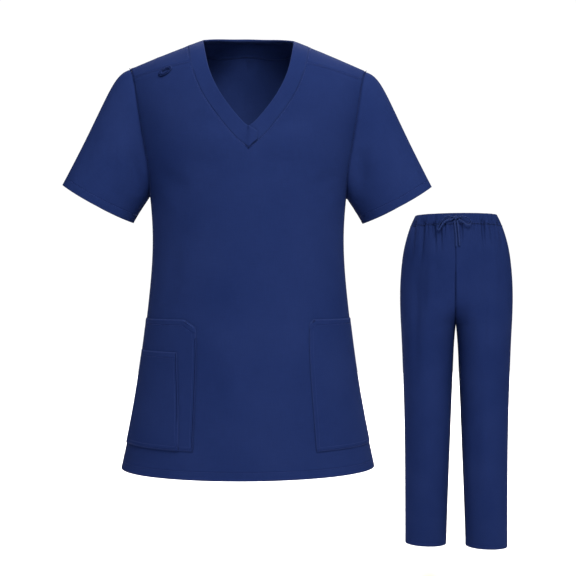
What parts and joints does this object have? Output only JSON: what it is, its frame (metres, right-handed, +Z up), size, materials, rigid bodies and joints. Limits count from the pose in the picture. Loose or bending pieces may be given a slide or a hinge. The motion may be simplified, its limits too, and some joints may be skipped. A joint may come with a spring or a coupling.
{
  "type": "medical scrubs set",
  "caption": "Medical scrubs: a V-neck short-sleeved top with patch pockets, and pants with a gathered waist and a drawstring, both filled out as if worn.",
  "frame": {"origin": "on the top's centre line, at the height where its shoulders meet the neck, in the plane of its side seams: where a wearer's shoulders carry it", "axes": "+Z up, the top's front faces -Y, +X is the wearer's left"},
  "size_m": [1.0742, 1.451, 1.1826],
  "materials": {
    "navy_poplin": "matte plain-weave poplin with a faint sheen",
    "navy_cord": "matte flat braid"
  },
  "bodies": {
    "root": {"top_front": "navy_poplin", "top_back": "navy_poplin", "sleeve_right": "navy_poplin", "sleeve_left": "navy_poplin", "neck_band": "navy_poplin", "pocket_right": "navy_poplin", "pocket_phone": "navy_poplin", "pocket_left": "navy_poplin", "badge_loop": "navy_poplin", "pants_front_right": "navy_poplin", "pants_front_left": "navy_poplin", "pants_back_right": "navy_poplin", "pants_back_left": "navy_poplin", "waistband": "navy_poplin", "drawstring_knot": "navy_cord", "drawstring_loop_right": "navy_cord", "drawstring_loop_left": "navy_cord", "drawstring_tail_right": "navy_cord", "drawstring_tail_left": "navy_cord"}
  },
  "joints": []
}
